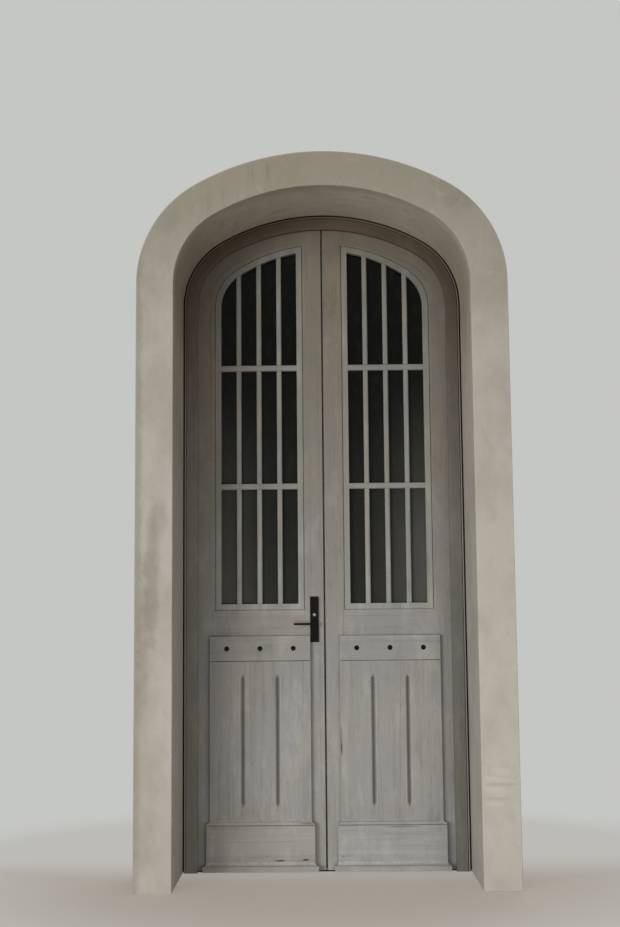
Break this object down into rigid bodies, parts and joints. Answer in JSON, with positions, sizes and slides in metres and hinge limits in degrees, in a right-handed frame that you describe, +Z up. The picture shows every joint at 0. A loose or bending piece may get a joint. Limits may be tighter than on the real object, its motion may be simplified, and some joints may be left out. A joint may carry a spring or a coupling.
{
  "type": "arched wooden double door",
  "caption": "Arched double door of weathered timber with barred glazing, fluted lower boards and a lever handle, in its frame and stone surround; the leaves open inwards.",
  "frame": {"origin": "middle of the doorway at floor level, in the mid-plane of the closed leaves, on the underside of the threshold plate", "axes": "+Z up, +Y into the building (the way the leaves open), +X to the right as seen from outside"},
  "size_m": [1.657, 0.59, 3.2498],
  "materials": {
    "weathered_oak": "weathered matt paint wash over open grain",
    "lime_stone": "trowelled, mottled, matt",
    "dark_glass": "clear pane before a dark room",
    "black_iron": "matt black",
    "plain_steel": "brushed",
    "dark_steel": "dull dark",
    "nickel_cylinder": "satin nickel",
    "seal_rubber": "matt",
    "brush_fibre": "dense bristle"
  },
  "bodies": {
    "frame": {"frame_head": "weathered_oak", "frame_hinge_plates": "plain_steel", "frame_jamb_left": "weathered_oak", "frame_jamb_right": "weathered_oak", "head_keep": "plain_steel", "hinge_pins": "plain_steel", "perimeter_seal": "seal_rubber", "stone_surround": "lime_stone", "threshold": "dark_steel", "weather_seal": "seal_rubber"},
    "left_leaf": {"key_cylinder": "nickel_cylinder", "left_base_moulding": "weathered_oak", "left_bottom_rail": "weathered_oak", "left_brush_strip": "brush_fibre", "left_cross_bars": "weathered_oak", "left_fluted_board": "weathered_oak", "left_glass_pane": "dark_glass", "left_glazing_bead": "weathered_oak", "left_grille_frame": "weathered_oak", "left_hinge_plates": "plain_steel", "left_hinge_stile": "weathered_oak", "left_inner_panel": "weathered_oak", "left_lock_rail": "weathered_oak", "left_meeting_stile": "weathered_oak", "left_nail_batten": "weathered_oak", "left_plinth": "weathered_oak", "left_stud_nails": "black_iron", "left_top_rail": "weathered_oak", "left_upright_bars": "weathered_oak", "lock_backplates": "black_iron", "lock_case": "plain_steel", "lock_forend": "plain_steel"},
    "right_leaf": {"flush_bolt_plates": "plain_steel", "right_base_moulding": "weathered_oak", "right_bottom_rail": "weathered_oak", "right_brush_strip": "brush_fibre", "right_cross_bars": "weathered_oak", "right_fluted_board": "weathered_oak", "right_glass_pane": "dark_glass", "right_glazing_bead": "weathered_oak", "right_grille_frame": "weathered_oak", "right_hinge_plates": "plain_steel", "right_hinge_stile": "weathered_oak", "right_inner_panel": "weathered_oak", "right_lock_rail": "weathered_oak", "right_meeting_stile": "weathered_oak", "right_nail_batten": "weathered_oak", "right_plinth": "weathered_oak", "right_stud_nails": "black_iron", "right_top_rail": "weathered_oak", "right_upright_bars": "weathered_oak", "strike_plate": "plain_steel"},
    "lever_set": {"outer_lever": "black_iron", "inner_lever": "black_iron", "lever_spindle": "plain_steel"},
    "key_plug": {"cylinder_plug": "nickel_cylinder"},
    "latch": {"latch_bolt": "plain_steel"},
    "lock_bolt": {"deadbolt": "plain_steel"},
    "upper_bolt": {"top_flush_bolt": "plain_steel"},
    "lower_bolt": {"bottom_flush_bolt": "plain_steel"}
  },
  "joints": [
    {"name": "left_leaf_swing", "type": "hinge", "parent": "frame", "child": "left_leaf", "pos_m": [-0.6045, 0.036, 1.35], "axis": [0, 0, 1], "range_deg": [0, 100]},
    {"name": "right_leaf_swing", "type": "hinge", "parent": "frame", "child": "right_leaf", "pos_m": [0.6045, 0.036, 1.35], "axis": [0, 0, -1], "range_deg": [0, 100]},
    {"name": "lever_turn", "type": "hinge", "parent": "left_leaf", "child": "lever_set", "pos_m": [-0.048, 0, 1.131], "axis": [0, -1, 0], "range_deg": [0, 40], "stiffness_Nm_per_rad": 1, "springref_deg": -22.92},
    {"name": "key_turn", "type": "hinge", "parent": "left_leaf", "child": "key_plug", "pos_m": [-0.048, 0, 1.174], "axis": [0, 1, 0], "range_deg": [0, 360]},
    {"name": "deadbolt_slide", "type": "slide", "parent": "left_leaf", "child": "lock_bolt", "axis": [1, 0, 0], "range_m": [0, 0.02]},
    {"name": "latch_slide", "type": "slide", "parent": "left_leaf", "child": "latch", "axis": [1, 0, 0], "range_m": [0, 0.012]},
    {"name": "upper_bolt_slide", "type": "slide", "parent": "right_leaf", "child": "upper_bolt", "axis": [0, 0, 1], "range_m": [0, 0.02]},
    {"name": "lower_bolt_slide", "type": "slide", "parent": "right_leaf", "child": "lower_bolt", "axis": [0, 0, -1], "range_m": [0, 0.007]}
  ],
  "couplings": [
    {"joint": "key_turn", "follows": "deadbolt_slide", "rad_per_m": 314.16}
  ]
}
